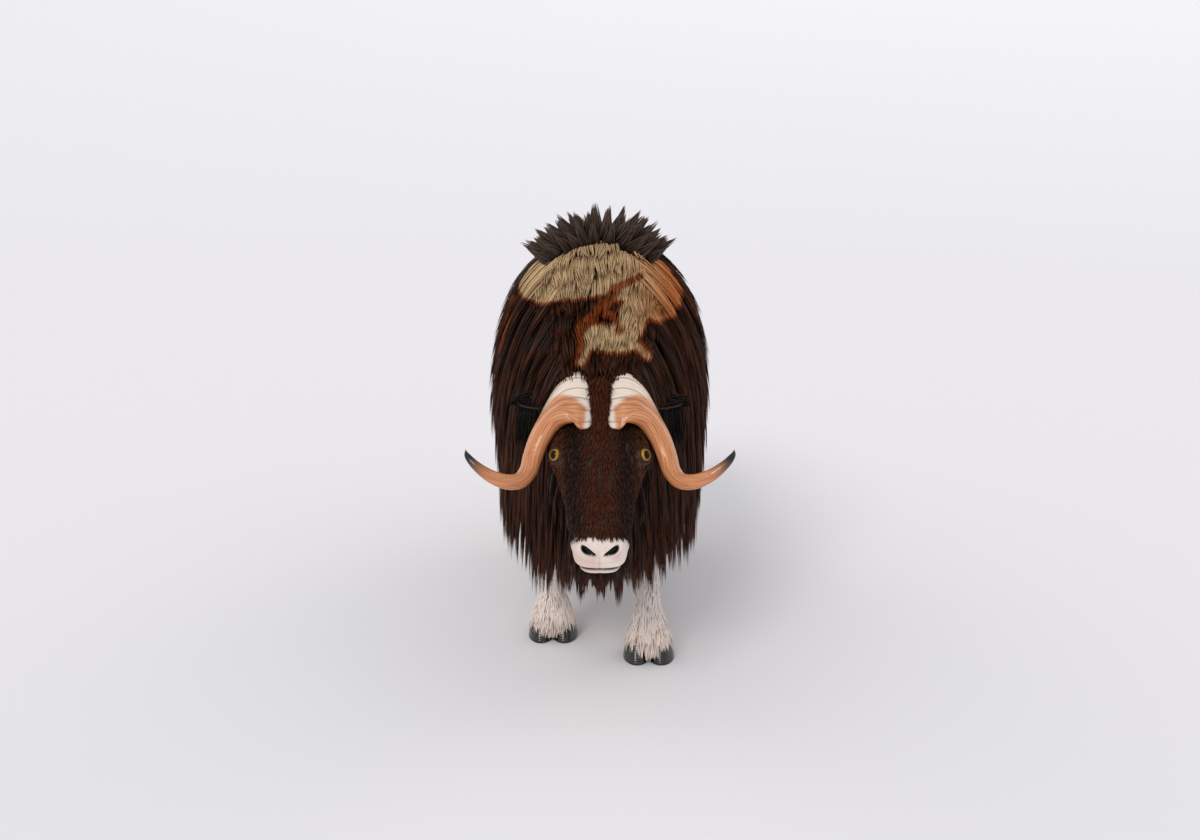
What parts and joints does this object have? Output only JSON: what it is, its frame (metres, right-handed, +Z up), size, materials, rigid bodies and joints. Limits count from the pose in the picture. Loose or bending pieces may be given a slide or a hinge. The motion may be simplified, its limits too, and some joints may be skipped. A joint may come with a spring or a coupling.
{
  "type": "standing muskox model",
  "caption": "Life-size still model of a standing muskox bull with a long shaggy coat, a horn boss across the brow and up-curled horn tips.",
  "frame": {"origin": "on the ground below the middle of the bounding box", "axes": "+Z up, -Y towards the muzzle, +X towards the animal's left"},
  "size_m": [0.813, 2.209, 1.5539],
  "materials": {
    "coat": "long dark brown guard hair in flat locks",
    "saddle": "pale tan wool with a rust-brown edge",
    "stocking": "short cream hair",
    "horn": "horn, cream at the boss, amber along the shaft, near black at the tip",
    "hoof": "dark horn of the hooves, satin",
    "eye": "wet eye with an amber iris and a dark pupil"
  },
  "bodies": {
    "root": {"head": "coat", "neck": "coat", "trunk": "saddle", "rump": "coat", "tail": "coat", "flank_left": "coat", "flank_right": "coat", "horn_left": "horn", "horn_right": "horn", "ear_left": "coat", "ear_right": "coat", "eye_left": "eye", "eye_right": "eye", "foreleg_left": "stocking", "foreleg_right": "stocking", "hindleg_left": "stocking", "hindleg_right": "stocking", "hoof_fore_left_outer": "hoof", "dewclaw_fore_left_outer": "hoof", "hoof_fore_left_inner": "hoof", "dewclaw_fore_left_inner": "hoof", "hoof_fore_right_outer": "hoof", "dewclaw_fore_right_outer": "hoof", "hoof_fore_right_inner": "hoof", "dewclaw_fore_right_inner": "hoof", "hoof_hind_left_outer": "hoof", "dewclaw_hind_left_outer": "hoof", "hoof_hind_left_inner": "hoof", "dewclaw_hind_left_inner": "hoof", "hoof_hind_right_outer": "hoof", "dewclaw_hind_right_outer": "hoof", "hoof_hind_right_inner": "hoof", "dewclaw_hind_right_inner": "hoof"}
  },
  "joints": []
}
